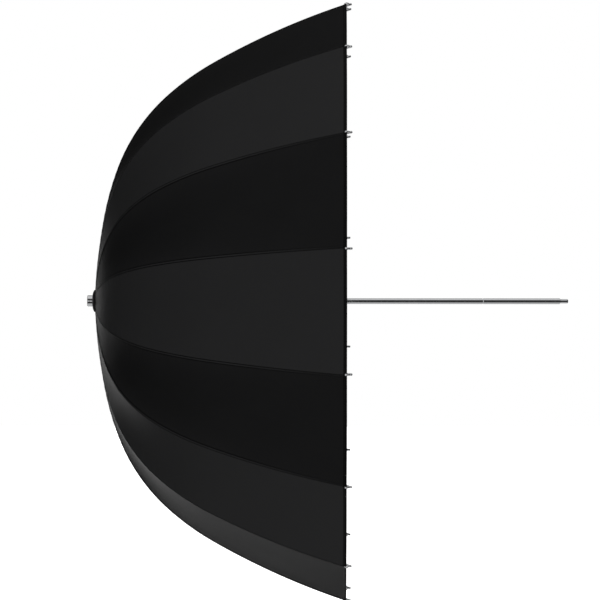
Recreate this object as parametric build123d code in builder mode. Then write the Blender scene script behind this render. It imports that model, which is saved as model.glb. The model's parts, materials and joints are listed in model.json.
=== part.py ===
from build123d import *
from math import atan2, cos, degrees, hypot, radians, sin, tan
import os

os.makedirs("parts", exist_ok=True)

# A deep sixteen-rib studio umbrella reflector, standing open. All sizes are in millimetres.
# The shaft lies along X and its free end points to +X. The cup of the canopy faces +X too.
# Sizes along the shaft are counted from the top of the canopy, and APEX_X puts that in the
# part's own frame, whose origin is the near end of the bare stretch that a lamp clamp grips.
APEX_X = -550.0
RIBS = 16
PITCH = 360.0 / RIBS
FIRST_RIB = PITCH / 2
HALF_GORE = radians(PITCH / 2)

# The rib's line, as a start lean and then round bends of (length, turn in degrees).
START_LEAN = 87.3
BENDS = ((120.0, 8.0), (75.0, 9.7), (129.0, 28.0), (78.0, 11.9), (204.0, 11.3))
RIM = sum(length for length, turn in BENDS)

CLOTH = 0.6
SEAM_GAP = 0.1
ROD_RADIUS = 1.5
ROD_DEPTH = CLOTH + 0.5 + ROD_RADIUS

SHAFT_RADIUS = 4.0
SHAFT_BORE = 3.0
SHAFT_TOP = -9.0
SHAFT_END = 658.0
PLUG_LENGTH = 30.0
PLUG_SHOWS = 11.7
GROOVE_WIDTH = 2.5
GROOVE_DEPTH = 0.3
TUBE_CHAMFER = 0.3
PLUG_NOSE = 2.2
PLUG_CHAMFER = 0.5
OVERCUT = 1.0

BLADE = 1.5
SLOT = 1.95
WIRE_RADIUS = 0.5
WIRE_EYE = 0.6
WIRE_GROOVE = 0.55

HUB_RADIUS = 12.0
HUB_FACE = 1.6
HUB_BACK = 8.6
HUB_PIVOT = (5.6, 9.0)
HUB_SLOT_FLOOR = 7.0
HUB_CHAMFER = 0.8
COLLAR_RADIUS = 6.8
COLLAR_END = 17.0
COLLAR_CHAMFER = 1.0
CROSS_PIN_AT = 13.0
CROSS_PIN_RADIUS = 0.75
HUB_PIN_INSET = 0.2
CATCH_PIN_INSET = 0.1

FERRULE_TOP = -11.0
FERRULE_END = -3.9
FERRULE_RADIUS = 8.25
FERRULE_CHAMFER = (1.0, 1.25)
FERRULE_WAIST = 0.55
FERRULE_STEP_AT = -5.2
FERRULE_WAIST_AT = -4.6

ROSETTE_RADIUS = 15.5
ROSETTE_BACK = -0.2
ROSETTE_SKIRT = -1.2
ROSETTE_BELLY = (-3.1, 12.0)
ROSETTE_FACE = (-3.8, 8.0)
CLOTH_HOLE_AT = 5.0

RUNNER_AT = 171.0
RUNNER_PIVOT_RADIUS = 10.0
RUNNER_BORE = 4.06
CROWN_RADIUS = 13.0
CROWN_FRONT = 4.0
CROWN_BACK = 3.0
CROWN_SLOT_FLOOR = 8.1
SLEEVE_RADIUS = 6.0
SLEEVE_FLARE = 3.0
SLEEVE_END = 22.2
LIP_RADIUS = 7.6
LIP_LENGTH = 3.2
LIP_CHAMFER = 0.6

KNEE_AT = 265.0
KNEE_DEPTH = 5.5
KNEE_STRAP_DEPTH = 3.8
KNEE_PIN_RADIUS = 0.8
KNEE_EYE = 0.85
KNEE_BLADE = 11.0
KNEE_BLADE_DROP = 0.4
KNEE_BLADE_WIDTH = 3.6
CHEEK_INSIDE = 0.95
CHEEK = 1.0
CHEEK_RADIUS = 2.2
CHEEK_REACH = 10.0
ROOT_END = 24.0
INNER_ROD_END = 258.0
OUTER_ROD_START = 272.0

TIP_RADIUS = 1.7
TIP_SLEEVE = 8.0
TIP_SHOWS = 6.8
TIP_ROUNDING = 1.3

STRETCHER_RADIUS = 1.2
STRETCHER_SIDE = 3.15
STRETCHER_BLADE = 12.0
STRETCHER_TAPER = 8.0
STRETCHER_FOOT_WIDTH = 3.0
STRETCHER_EYE_WIDTH = 4.0

CATCH_PIVOT = 222.0
CATCH_WIDTH = 1.8
CATCH_SLOT = 2.4
CATCH_GAP = 0.4
CATCH_SLOT_LEAD = 1.0
CATCH_SLOT_TAIL = 6.0
CATCH_FACE = (0.2, 6.2)
CATCH_NOSE = (1.2, 6.4)
CATCH_HEEL = -9.0
CATCH_HALF_DEPTH = 1.6
CATCH_TAIL = (1.6, 0.8)
CATCH_BELLY = (-3.0, -1.2)
PIN_CLEARANCE = 0.05


def rib_point(along, depth=0.0):
    """Where the rib's line is, as (along the shaft, out from the shaft), at a length from the top."""
    at, out = 0.0, 0.0
    lean = radians(START_LEAN)
    for length, turn in BENDS:
        radius = length / radians(turn)
        step = min(along, length) / radius
        at += radius * (sin(lean) - sin(lean - step))
        out += radius * (cos(lean - step) - cos(lean))
        lean -= step
        along -= length
        if along <= 0:
            break
    return at + depth * sin(lean), out - depth * cos(lean)


def rib_lean(along):
    """The angle in degrees between the rib and the shaft, at a length from the top."""
    lean = START_LEAN
    for length, turn in BENDS:
        lean -= turn * min(max(along / length, 0.0), 1.0)
        along -= length
    return lean


def bend_spans(start, end):
    """The lengths from the top at which one round bend gives way to the next."""
    marks = [start]
    reached = 0.0
    for length, turn in BENDS:
        reached += length
        if start < reached < end:
            marks.append(reached)
    return list(zip(marks, marks[1:] + [end]))


def rib_plane(number):
    """The plane that holds the shaft and one rib: x along the shaft, y out along the rib."""
    turn = radians(FIRST_RIB + number * PITCH)
    return Plane(origin=(APEX_X, 0, 0), x_dir=(1, 0, 0), z_dir=(0, -sin(turn), cos(turn)))


def draw_rib_line(start, end, depth):
    """Lay the rib's round bends end to end."""
    for low, high in bend_spans(start, end):
        ThreePointArc(
            rib_point(low, depth),
            rib_point((low + high) / 2, depth),
            rib_point(high, depth),
        )


def draw_strap(start, end, width):
    """A strap with round ends between two points."""
    across = end[0] - start[0]
    up = end[1] - start[1]
    middle = ((start[0] + end[0]) / 2, (start[1] + end[1]) / 2)
    with Locations(middle):
        SlotCenterToCenter(hypot(across, up), width, rotation=degrees(atan2(up, across)))


KNEE = rib_point(KNEE_AT, KNEE_DEPTH)
RUNNER_PIVOT = (RUNNER_AT, RUNNER_PIVOT_RADIUS)
SHAFT_AXIS = Axis((APEX_X, 0, 0), (1, 0, 0))
SHAFT_PLANE = Plane(origin=(APEX_X, 0, 0), x_dir=(1, 0, 0), z_dir=(0, -1, 0))


def save(part, name):
    """Label a finished piece and write it as its own file."""
    part.label = name
    export_step(part, f"parts/{name}.step")


def across_shaft(at):
    """The plane square to the shaft at a place along it."""
    return Plane(origin=(APEX_X + at, 0, 0), x_dir=(0, 1, 0), z_dir=(1, 0, 0))


def make_shaft_tube():
    """The chromed steel tube, with its cross-pin holes, the catch's slot and the rolled groove."""
    with BuildPart() as tube:
        with BuildSketch(across_shaft(SHAFT_TOP)):
            Circle(SHAFT_RADIUS)
            Circle(SHAFT_BORE, mode=Mode.SUBTRACT)
        extrude(amount=SHAFT_END - SHAFT_TOP)
        end_rims = tube.edges().filter_by(GeomType.CIRCLE).group_by(Axis.X)[-1]
        chamfer(end_rims.sort_by(SortBy.RADIUS)[-1:], TUBE_CHAMFER)
        with BuildSketch(SHAFT_PLANE):
            with Locations((CROSS_PIN_AT, 0), (CATCH_PIVOT, 0)):
                Circle(CROSS_PIN_RADIUS)
        extrude(amount=SHAFT_RADIUS + OVERCUT, both=True, mode=Mode.SUBTRACT)
        groove_middle = -APEX_X - GROOVE_WIDTH / 2
        with BuildSketch(across_shaft(groove_middle)):
            Circle(SHAFT_RADIUS + OVERCUT)
            Circle(SHAFT_RADIUS - GROOVE_DEPTH, mode=Mode.SUBTRACT)
        extrude(amount=GROOVE_WIDTH / 2, both=True, mode=Mode.SUBTRACT)
        slot_start = RUNNER_AT + SLEEVE_END - CATCH_SLOT_LEAD
        slot_end = CATCH_PIVOT - CATCH_SLOT_TAIL
        with BuildSketch(Plane(origin=(APEX_X, 0, 0), x_dir=(1, 0, 0), z_dir=(0, 0, 1))):
            with Locations(((slot_start + slot_end) / 2, 0)):
                SlotOverall(slot_end - slot_start, CATCH_SLOT)
        extrude(amount=SHAFT_RADIUS + OVERCUT, mode=Mode.SUBTRACT)
    save(tube.part, "shaft_tube")


def make_shaft_end_plug():
    """The rounded plug pressed into the shaft's free end."""
    with BuildPart() as plug:
        with BuildSketch(across_shaft(SHAFT_END + PLUG_SHOWS - PLUG_LENGTH)):
            Circle(SHAFT_BORE)
        extrude(amount=PLUG_LENGTH)
        fillet(plug.edges().group_by(Axis.X)[-1], PLUG_NOSE)
        chamfer(plug.edges().group_by(Axis.X)[0], PLUG_CHAMFER)
    save(plug.part, "shaft_end_plug")


def make_notch_hub():
    """The hub pinned under the canopy's top, slotted for the sixteen rib roots."""
    with BuildPart() as hub:
        with BuildSketch(SHAFT_PLANE):
            with BuildLine():
                Polyline(
                    (HUB_FACE, SHAFT_RADIUS),
                    (HUB_FACE, HUB_RADIUS - HUB_CHAMFER),
                    (HUB_FACE + HUB_CHAMFER, HUB_RADIUS),
                    (HUB_BACK - HUB_CHAMFER, HUB_RADIUS),
                    (HUB_BACK, HUB_RADIUS - HUB_CHAMFER),
                    (HUB_BACK, COLLAR_RADIUS),
                    (COLLAR_END - COLLAR_CHAMFER, COLLAR_RADIUS),
                    (COLLAR_END, COLLAR_RADIUS - COLLAR_CHAMFER),
                    (COLLAR_END, SHAFT_RADIUS),
                    close=True,
                )
            make_face()
        revolve(axis=SHAFT_AXIS)
        groove_floor = HUB_PIVOT[0] + WIRE_GROOVE
        with BuildSketch(across_shaft(HUB_FACE - OVERCUT)):
            Circle(HUB_PIVOT[1] + WIRE_GROOVE)
            Circle(HUB_PIVOT[1] - WIRE_GROOVE, mode=Mode.SUBTRACT)
        extrude(amount=groove_floor - HUB_FACE + OVERCUT, mode=Mode.SUBTRACT)
        slot_depth = HUB_RADIUS + OVERCUT - HUB_SLOT_FLOOR
        for number in range(RIBS):
            with BuildSketch(rib_plane(number)):
                with Locations(((HUB_FACE + HUB_BACK) / 2, HUB_SLOT_FLOOR + slot_depth / 2)):
                    Rectangle(HUB_BACK - HUB_FACE + 2 * OVERCUT, slot_depth)
            extrude(amount=SLOT / 2, both=True, mode=Mode.SUBTRACT)
        with BuildSketch(SHAFT_PLANE):
            with Locations((CROSS_PIN_AT, 0)):
                Circle(CROSS_PIN_RADIUS)
        extrude(amount=COLLAR_RADIUS + OVERCUT, both=True, mode=Mode.SUBTRACT)
    save(hub.part, "notch_hub")


def make_ring_wire(name, at, radius):
    """A wire ring that a set of sixteen blades is strung on."""
    with BuildPart() as wire:
        with BuildSketch(SHAFT_PLANE):
            with Locations((at, radius)):
                Circle(WIRE_RADIUS)
        revolve(axis=SHAFT_AXIS)
    save(wire.part, name)


def make_cross_pin(name, at, length):
    """A plain pin straight through the shaft."""
    with BuildPart() as pin:
        with BuildSketch(SHAFT_PLANE):
            with Locations((at, 0)):
                Circle(CROSS_PIN_RADIUS)
        extrude(amount=length / 2, both=True)
    save(pin.part, name)


def make_ferrule_nut():
    """The chromed cap nut on top of the canopy."""
    with BuildPart() as nut:
        with BuildSketch(SHAFT_PLANE):
            with BuildLine():
                Polyline(
                    (FERRULE_TOP, 0),
                    (FERRULE_TOP, FERRULE_RADIUS - FERRULE_CHAMFER[1]),
                    (FERRULE_TOP + FERRULE_CHAMFER[0], FERRULE_RADIUS),
                    (FERRULE_STEP_AT, FERRULE_RADIUS),
                    (FERRULE_WAIST_AT, FERRULE_RADIUS - FERRULE_WAIST),
                    (FERRULE_END, FERRULE_RADIUS - FERRULE_WAIST),
                    (FERRULE_END, SHAFT_RADIUS),
                    (SHAFT_TOP, SHAFT_RADIUS),
                    (SHAFT_TOP, 0),
                    close=True,
                )
            make_face()
        revolve(axis=SHAFT_AXIS)
    save(nut.part, "ferrule_nut")


def make_rosette_cap():
    """The domed plastic washer that holds the cloth down around the shaft."""
    with BuildPart() as rosette:
        with BuildSketch(SHAFT_PLANE):
            with BuildLine():
                Line((ROSETTE_BACK, SHAFT_RADIUS), (ROSETTE_BACK, ROSETTE_RADIUS))
                Line((ROSETTE_BACK, ROSETTE_RADIUS), (ROSETTE_SKIRT, ROSETTE_RADIUS))
                ThreePointArc((ROSETTE_SKIRT, ROSETTE_RADIUS), ROSETTE_BELLY, ROSETTE_FACE)
                Line(ROSETTE_FACE, (ROSETTE_FACE[0], SHAFT_RADIUS))
                Line((ROSETTE_FACE[0], SHAFT_RADIUS), (ROSETTE_BACK, SHAFT_RADIUS))
            make_face()
        revolve(axis=SHAFT_AXIS)
    save(rosette.part, "rosette_cap")


def gore_point(along, depth):
    """A point of a panel's middle line, which runs nearer to the shaft than the ribs do."""
    at, out = rib_point(along, depth)
    return at, out * cos(HALF_GORE)


def make_canopy():
    """Sixteen cloth panels, straight from rib to rib and cut along the rib planes."""
    panel_plane = Plane(origin=(APEX_X, 0, 0), x_dir=(1, 0, 0), z_dir=(0, 0, 1))
    with BuildPart() as gore:
        with BuildSketch(panel_plane):
            with BuildLine():
                for low, high in bend_spans(CLOTH_HOLE_AT, RIM):
                    middle = (low + high) / 2
                    for depth in (0, CLOTH):
                        ThreePointArc(
                            gore_point(low, depth),
                            gore_point(middle, depth),
                            gore_point(high, depth),
                        )
                for end in (CLOTH_HOLE_AT, RIM):
                    Line(gore_point(end, 0), gore_point(end, CLOTH))
            make_face()
        extrude(amount=rib_point(RIM)[1] * tan(HALF_GORE), both=True)
        for side in (1, -1):
            turn = side * HALF_GORE
            facing = Vector(0, -side * sin(turn), side * cos(turn))
            seam = Plane(origin=Vector(APEX_X, 0, 0) - facing * SEAM_GAP / 2, z_dir=facing)
            split(bisect_by=seam, keep=Keep.BOTTOM)
    with BuildPart() as canopy:
        for number in range(RIBS):
            add(gore.part.rotate(Axis.X, number * PITCH))
    save(canopy.part, "canopy")


def make_rod(plane, start, end):
    """A length of round rod that follows the rib's bends just inside the cloth."""
    with BuildPart() as rod:
        with BuildLine(plane) as line:
            draw_rib_line(start, end, ROD_DEPTH)
        with BuildSketch(Plane(origin=line.line @ 0, z_dir=line.line % 0)):
            Circle(ROD_RADIUS)
        sweep(path=line.line)
    return rod.part


def make_rib_inner(number):
    """The root half of a rib: blade with its eye, fibreglass rod, and the knee bracket with its pin."""
    plane = rib_plane(number)
    rod = make_rod(plane, ROOT_END, INNER_ROD_END)
    with BuildPart() as rib:
        with BuildSketch(plane):
            draw_strap(HUB_PIVOT, rib_point(ROOT_END, ROD_DEPTH), 2 * ROD_RADIUS)
            with Locations(HUB_PIVOT):
                Circle(WIRE_EYE, mode=Mode.SUBTRACT)
        extrude(amount=BLADE / 2, both=True)
        add(rod)
        for side in (1, -1):
            with BuildSketch(plane.offset(side * CHEEK_INSIDE)):
                draw_strap(rib_point(KNEE_AT - CHEEK_REACH, KNEE_STRAP_DEPTH), KNEE, 2 * CHEEK_RADIUS)
            extrude(amount=side * CHEEK)
        with BuildSketch(plane):
            with Locations(KNEE):
                Circle(KNEE_PIN_RADIUS)
        extrude(amount=CHEEK_INSIDE + CHEEK, both=True)
    save(rib.part, f"rib_inner_{number + 1:02d}")


def make_rib_outer(number):
    """The rim half of a rib: blade on the knee pin, fibreglass rod, and the bright tip."""
    plane = rib_plane(number)
    rod = make_rod(plane, OUTER_ROD_START, RIM)
    tip_end = rib_point(RIM, ROD_DEPTH)
    lean = radians(rib_lean(RIM))
    with BuildPart() as rib:
        with BuildSketch(plane):
            blade_end = rib_point(KNEE_AT + KNEE_BLADE, ROD_DEPTH + KNEE_BLADE_DROP)
            draw_strap(KNEE, blade_end, KNEE_BLADE_WIDTH)
            with Locations(KNEE):
                Circle(KNEE_EYE, mode=Mode.SUBTRACT)
        extrude(amount=BLADE / 2, both=True)
        add(rod)
        rim_end = plane.from_local_coords((*tip_end, 0))
        outwards = plane.x_dir * cos(lean) + plane.y_dir * sin(lean)
        with BuildSketch(Plane(origin=rim_end - outwards * TIP_SLEEVE, z_dir=outwards)):
            Circle(TIP_RADIUS)
        extrude(amount=TIP_SLEEVE + TIP_SHOWS)
        end_face = rib.faces().sort_by(lambda face: (face.center() - rim_end).dot(outwards))[-1]
        fillet(end_face.edges(), TIP_ROUNDING)
    save(rib.part, f"rib_outer_{number + 1:02d}")


def make_stretcher(number):
    """The painted steel arm between the runner and a rib's knee, led past the side of the bracket."""
    plane = rib_plane(number)
    across = KNEE[0] - RUNNER_PIVOT[0]
    up = KNEE[1] - RUNNER_PIVOT[1]
    length = hypot(across, up)
    foot = plane.from_local_coords((*RUNNER_PIVOT, 0))
    run = plane.from_local_coords((*KNEE, STRETCHER_SIDE)) - foot
    start = foot + run * (STRETCHER_TAPER / length)
    blade_end = (
        RUNNER_PIVOT[0] + across * STRETCHER_BLADE / length,
        RUNNER_PIVOT[1] + up * STRETCHER_BLADE / length,
    )
    eye_start = (
        KNEE[0] - across * STRETCHER_BLADE / length,
        KNEE[1] - up * STRETCHER_BLADE / length,
    )
    with BuildPart() as stretcher:
        with BuildSketch(plane):
            draw_strap(RUNNER_PIVOT, blade_end, STRETCHER_FOOT_WIDTH)
            with Locations(RUNNER_PIVOT):
                Circle(WIRE_EYE, mode=Mode.SUBTRACT)
        extrude(amount=BLADE / 2, both=True)
        with BuildSketch(Plane(origin=start, z_dir=run)):
            Circle(STRETCHER_RADIUS)
        extrude(amount=length - 2 * STRETCHER_TAPER)
        with BuildSketch(plane.offset(STRETCHER_SIDE)):
            draw_strap(eye_start, KNEE, STRETCHER_EYE_WIDTH)
            with Locations(KNEE):
                Circle(KNEE_EYE, mode=Mode.SUBTRACT)
        extrude(amount=BLADE / 2, both=True)
    save(stretcher.part, f"stretcher_{number + 1:02d}")


def make_runner():
    """The moulded sleeve that slides on the shaft, with a crown slotted for the stretchers."""
    with BuildPart() as runner:
        with BuildSketch(SHAFT_PLANE):
            with BuildLine():
                Polyline(
                    (RUNNER_AT - CROWN_FRONT, RUNNER_BORE),
                    (RUNNER_AT - CROWN_FRONT, CROWN_RADIUS - HUB_CHAMFER),
                    (RUNNER_AT - CROWN_FRONT + HUB_CHAMFER, CROWN_RADIUS),
                    (RUNNER_AT + CROWN_BACK - HUB_CHAMFER, CROWN_RADIUS),
                    (RUNNER_AT + CROWN_BACK, CROWN_RADIUS - HUB_CHAMFER),
                    (RUNNER_AT + CROWN_BACK, CROWN_SLOT_FLOOR),
                    (RUNNER_AT + CROWN_BACK + SLEEVE_FLARE, SLEEVE_RADIUS),
                    (RUNNER_AT + SLEEVE_END - LIP_LENGTH, SLEEVE_RADIUS),
                    (RUNNER_AT + SLEEVE_END - LIP_LENGTH, LIP_RADIUS),
                    (RUNNER_AT + SLEEVE_END - LIP_CHAMFER, LIP_RADIUS),
                    (RUNNER_AT + SLEEVE_END, LIP_RADIUS - LIP_CHAMFER),
                    (RUNNER_AT + SLEEVE_END, RUNNER_BORE),
                    close=True,
                )
            make_face()
        revolve(axis=SHAFT_AXIS)
        groove_floor = RUNNER_AT - WIRE_GROOVE
        with BuildSketch(across_shaft(groove_floor)):
            Circle(RUNNER_PIVOT_RADIUS + WIRE_GROOVE)
            Circle(RUNNER_PIVOT_RADIUS - WIRE_GROOVE, mode=Mode.SUBTRACT)
        extrude(amount=CROWN_BACK + WIRE_GROOVE + OVERCUT, mode=Mode.SUBTRACT)
        slot_depth = CROWN_RADIUS + OVERCUT - CROWN_SLOT_FLOOR
        crown_length = CROWN_FRONT + CROWN_BACK
        for number in range(RIBS):
            with BuildSketch(rib_plane(number)):
                with Locations((RUNNER_AT, CROWN_SLOT_FLOOR + slot_depth / 2)):
                    Rectangle(crown_length + 2 * CROWN_BACK, slot_depth)
            extrude(amount=SLOT / 2, both=True, mode=Mode.SUBTRACT)
    save(runner.part, "runner")


def make_catch_spring():
    """The sprung steel catch: its upright end holds the runner up, and its slope lets it pass."""
    face = RUNNER_AT + SLEEVE_END + CATCH_GAP
    with BuildPart() as catch:
        with BuildSketch(SHAFT_PLANE):
            with BuildLine():
                Polyline(
                    (face, CATCH_FACE[0]),
                    (face, CATCH_FACE[1]),
                    (face + CATCH_NOSE[0], CATCH_NOSE[1]),
                    (CATCH_PIVOT + CATCH_HEEL, CATCH_HALF_DEPTH),
                    (CATCH_PIVOT, CATCH_HALF_DEPTH),
                    (CATCH_PIVOT + CATCH_TAIL[0], CATCH_TAIL[1]),
                    (CATCH_PIVOT + CATCH_TAIL[0], -CATCH_TAIL[1]),
                    (CATCH_PIVOT, -CATCH_HALF_DEPTH),
                    (CATCH_PIVOT + CATCH_BELLY[0], CATCH_BELLY[1]),
                    close=True,
                )
            make_face()
            with Locations((CATCH_PIVOT, 0)):
                Circle(CROSS_PIN_RADIUS + PIN_CLEARANCE, mode=Mode.SUBTRACT)
        extrude(amount=CATCH_WIDTH / 2, both=True)
    save(catch.part, "catch_spring")


make_shaft_tube()
make_shaft_end_plug()
make_notch_hub()
make_ring_wire("notch_wire", *HUB_PIVOT)
make_cross_pin("notch_pin", CROSS_PIN_AT, 2 * (COLLAR_RADIUS - HUB_PIN_INSET))
make_ferrule_nut()
make_rosette_cap()
make_cross_pin("catch_pin", CATCH_PIVOT, 2 * (SHAFT_RADIUS - CATCH_PIN_INSET))
make_canopy()
make_runner()
make_ring_wire("runner_wire", RUNNER_AT, RUNNER_PIVOT_RADIUS)
make_catch_spring()
for rib_number in range(RIBS):
    make_rib_inner(rib_number)
    make_rib_outer(rib_number)
    make_stretcher(rib_number)
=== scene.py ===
import bmesh
import bpy
import json
from math import cos, exp, hypot, pi, radians, sin
from mathutils import Matrix, Vector


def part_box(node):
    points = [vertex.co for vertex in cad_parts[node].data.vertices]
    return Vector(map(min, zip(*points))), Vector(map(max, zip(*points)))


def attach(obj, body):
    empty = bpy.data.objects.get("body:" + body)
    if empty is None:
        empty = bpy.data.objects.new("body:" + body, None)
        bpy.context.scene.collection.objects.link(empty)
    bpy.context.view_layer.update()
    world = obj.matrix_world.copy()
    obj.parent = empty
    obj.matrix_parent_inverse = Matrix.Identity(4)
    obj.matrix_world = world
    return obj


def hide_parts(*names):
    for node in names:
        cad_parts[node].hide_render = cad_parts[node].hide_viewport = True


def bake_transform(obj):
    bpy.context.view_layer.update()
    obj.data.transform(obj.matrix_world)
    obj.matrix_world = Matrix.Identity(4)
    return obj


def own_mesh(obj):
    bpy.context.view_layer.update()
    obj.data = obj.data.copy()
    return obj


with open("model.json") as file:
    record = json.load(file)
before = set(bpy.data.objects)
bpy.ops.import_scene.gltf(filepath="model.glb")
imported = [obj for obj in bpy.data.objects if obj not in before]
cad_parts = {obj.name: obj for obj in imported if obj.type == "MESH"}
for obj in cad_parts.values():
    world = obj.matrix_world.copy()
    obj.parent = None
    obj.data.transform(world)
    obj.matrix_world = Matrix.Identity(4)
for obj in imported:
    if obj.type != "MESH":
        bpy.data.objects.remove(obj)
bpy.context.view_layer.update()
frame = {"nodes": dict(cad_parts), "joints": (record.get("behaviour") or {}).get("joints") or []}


# ---- The shaft tube -------------------------------------------------------------------------
# A drawn steel tube, 8 mm across with a 1 mm wall, polished and chrome plated. A slot is milled
# through it for the catch, and a shallow groove is rolled in where the folded runner comes to rest.

class Signal:
    """One output in a finish's node tree. Arithmetic on signals adds the tree's Math nodes."""

    def __init__(self, finish, socket):
        self.finish = finish
        self.socket = socket

    def math(self, operation, first, second):
        return self.finish.node("ShaderNodeMath", {"operation": operation}, {0: first, 1: second})

    def __add__(self, other):
        return self.math("ADD", self, other)

    def __radd__(self, other):
        return self.math("ADD", other, self)

    def __sub__(self, other):
        return self.math("SUBTRACT", self, other)

    def __rsub__(self, other):
        return self.math("SUBTRACT", other, self)

    def __mul__(self, other):
        return self.math("MULTIPLY", self, other)

    def __rmul__(self, other):
        return self.math("MULTIPLY", other, self)


class Nodes:
    """A node tree in the making."""

    def __init__(self, tree):
        self.tree = tree

    def node(self, kind, settings=None, inputs=None, output=0):
        """Add a node: its settings first, then the values or links of its sockets."""
        made = self.tree.nodes.new(kind)
        for name, value in (settings or {}).items():
            setattr(made, name, value)
        for key, value in (inputs or {}).items():
            self.join(made.inputs[key], value)
        return Signal(self, made.outputs[output])

    def join(self, socket, value):
        """Link a signal to a socket, or set the socket to a plain value."""
        if isinstance(value, Signal):
            self.tree.links.new(value.socket, socket)
        else:
            socket.default_value = value


class Finish(Nodes):
    """A material in the making, with one principled surface."""

    def __init__(self, name, **shared):
        self.material = bpy.data.materials.new(name)
        self.material.use_nodes = True
        super().__init__(self.material.node_tree)
        self.tree.nodes.clear()
        self.surface = self.tree.nodes.new("ShaderNodeBsdfPrincipled")
        output = self.tree.nodes.new("ShaderNodeOutputMaterial")
        self.tree.links.new(self.surface.outputs[0], output.inputs["Surface"])
        for socket, value in shared.items():
            self.surface.inputs[socket.replace("_", " ")].default_value = value

    def feed(self, **signals):
        """Lead signals into the surface's own sockets."""
        for name, value in signals.items():
            self.join(self.surface.inputs[name.replace("_", " ")], value)

    def stretched_noise(self, scale, detail=2.0, place=None):
        """Noise on the piece's own coordinates, with its own scale along X, Y and Z."""
        place = place or self.node("ShaderNodeTexCoord", output="Object")
        spread = self.node("ShaderNodeMapping", {}, {"Vector": place, "Scale": scale})
        return self.node("ShaderNodeTexNoise", {}, {"Vector": spread, "Scale": 1.0, "Detail": detail})

    def tint(self, share, low, high):
        """Mix two colours by a signal."""
        return self.node("ShaderNodeMix", {"data_type": "RGBA"}, {0: share, 6: low, 7: high}, output=2)

    def bump(self, height, depth):
        """A normal from a height signal, whose 0 to 1 is this many metres."""
        return self.node("ShaderNodeBump", {}, {"Height": height, "Strength": 1.0, "Distance": depth})


def make_chrome(name, roughness):
    """Bright plate with faint polishing lines along the shaft and a few dull specks."""
    finish = Finish(name, Metallic=1.0)
    lines = finish.stretched_noise((25.0, 2600.0, 2600.0))
    cloud = finish.stretched_noise((180.0, 180.0, 180.0), detail=4.0)
    finish.feed(
        Roughness=roughness + lines * 0.05 + cloud * 0.03,
        Base_Color=finish.tint(cloud, (0.74, 0.75, 0.77, 1), (0.86, 0.87, 0.88, 1)),
        Normal=finish.bump(lines, 0.000004),
    )
    return finish.material


hard_edge = radians(32.0)


def mesh_object(name, points, faces, materials, sharp_angle=hard_edge):
    """A smooth-shaded mesh at the origin, with its normals turned out and its hard edges sharp."""
    mesh = bpy.data.meshes.new(name)
    mesh.from_pydata([tuple(point) for point in points], [], faces)
    built = bmesh.new()
    built.from_mesh(mesh)
    bmesh.ops.recalc_face_normals(built, faces=built.faces)
    built.to_mesh(mesh)
    built.free()
    mesh.shade_smooth()
    mesh.set_sharp_from_angle(angle=sharp_angle)
    for material in materials:
        mesh.materials.append(material)
    made = bpy.data.objects.new(name, mesh)
    bpy.context.scene.collection.objects.link(made)
    return made


def ring_faces(rings, sides, closed=False):
    """Faces that join rings of points in turn, and close the last on the first or cap both ends."""
    faces = []
    for ring in range(rings if closed else rings - 1):
        here, there = ring * sides, (ring + 1) % rings * sides
        for side in range(sides):
            beside = (side + 1) % sides
            faces.append((here + side, here + beside, there + beside, there + side))
    if not closed:
        faces += [tuple(range(sides)), tuple(range((rings - 1) * sides, rings * sides))]
    return faces


def turned(name, corners, material, sides=64):
    """A piece turned on the shaft's axis from a closed outline of (along, out) points.

    A long side gets a second ring close to each of its ends, which keeps its shading straight.
    """
    support = 0.0002
    outline = []
    for index, corner in enumerate(corners):
        here, after = Vector(corner), Vector(corners[(index + 1) % len(corners)])
        length = (after - here).length
        outline.append(here)
        if length > 5 * support:
            outline += [here.lerp(after, support / length), here.lerp(after, 1 - support / length)]
    points = []
    for along, out in outline:
        for side in range(sides):
            turn = 2 * pi * side / sides
            points.append((along, out * cos(turn), out * sin(turn)))
    return mesh_object(name, points, ring_faces(len(outline), sides, closed=True), [material])


def cut_away(piece, cutters):
    """Subtract the cutters from a piece and remove them."""
    for cutter in cutters:
        boolean = piece.modifiers.new("cut", "BOOLEAN")
        boolean.operation = "DIFFERENCE"
        boolean.solver = "EXACT"
        boolean.object = cutter
    bpy.context.view_layer.update()
    evaluated = piece.evaluated_get(bpy.context.evaluated_depsgraph_get())
    cut = bpy.data.meshes.new_from_object(evaluated)
    piece.modifiers.clear()
    piece.data = cut
    for cutter in cutters:
        bpy.data.objects.remove(cutter)
    piece.data.set_sharp_from_angle(angle=hard_edge)


def finish_piece(piece, body, slot, *nodes):
    """Let a piece ride on its body and stand for its CAD nodes, which are hidden; its slot is not used.
    """
    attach(piece, body)
    if nodes:
        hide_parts(*nodes)


tube_low, tube_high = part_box("shaft_tube")
shaft_radius = tube_high.y
shaft_bore = 0.003
shaft_above_cloth = 0.009
canopy_top = tube_low.x + shaft_above_cloth
groove = (-0.0025, 0.0)
groove_floor = shaft_radius - 0.0003
groove_lip = 0.0001
groove_slope = 0.0004
tube_ease = 0.0002
mouth_ease = 0.0004

chrome = make_chrome("chrome_plate", 0.045)
tube_outline = [
    (tube_low.x, shaft_bore),
    (tube_low.x, shaft_radius - tube_ease),
    (tube_low.x + tube_ease, shaft_radius),
    (groove[0] - groove_lip, shaft_radius),
    (groove[0] + groove_slope, groove_floor),
    (groove[1] - groove_slope, groove_floor),
    (groove[1] + groove_lip, shaft_radius),
    (tube_high.x - mouth_ease, shaft_radius),
    (tube_high.x - mouth_ease / 4, shaft_radius - mouth_ease / 4),
    (tube_high.x, shaft_radius - mouth_ease),
    (tube_high.x, shaft_bore),
]
shaft_tube = turned("shaft_tube_chromed", tube_outline, chrome)

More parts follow.
